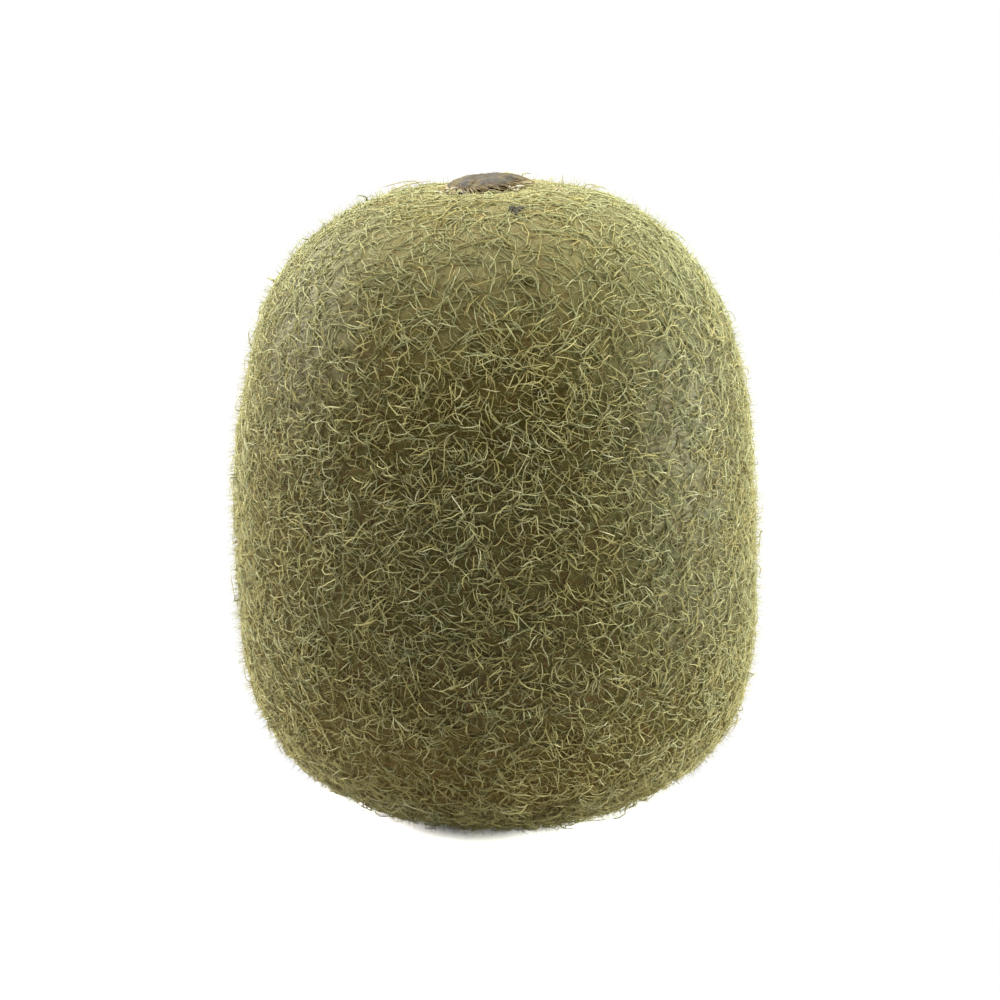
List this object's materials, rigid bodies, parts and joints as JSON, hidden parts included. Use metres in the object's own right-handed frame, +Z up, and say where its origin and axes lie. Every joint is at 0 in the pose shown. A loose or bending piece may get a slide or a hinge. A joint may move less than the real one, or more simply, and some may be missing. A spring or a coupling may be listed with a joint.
{
  "type": "kiwi fruit",
  "caption": "Whole fuzzy kiwi fruit that stands on its blossom end: a blunt oval barrel with a woody stem button in a shallow seat and a dimpled flat base.",
  "frame": {"origin": "centre of the fruit's footprint, on the surface that its blossom end stands on", "axes": "+Z up along the fruit from the blossom end to the stem end, +X to the right and -Y to the viewer with the slightly higher side of the crown on the right"},
  "size_m": [0.0526, 0.0494, 0.0661],
  "materials": {
    "kiwi_skin": "dry matte olive-brown skin under short straw-coloured hairs",
    "kiwi_hair": "fine straw-coloured hairs with a soft sheen",
    "stem_wood": "dry, cracked grey-brown wood"
  },
  "bodies": {
    "root": {"kiwi_fruit": "kiwi_skin"}
  },
  "joints": []
}
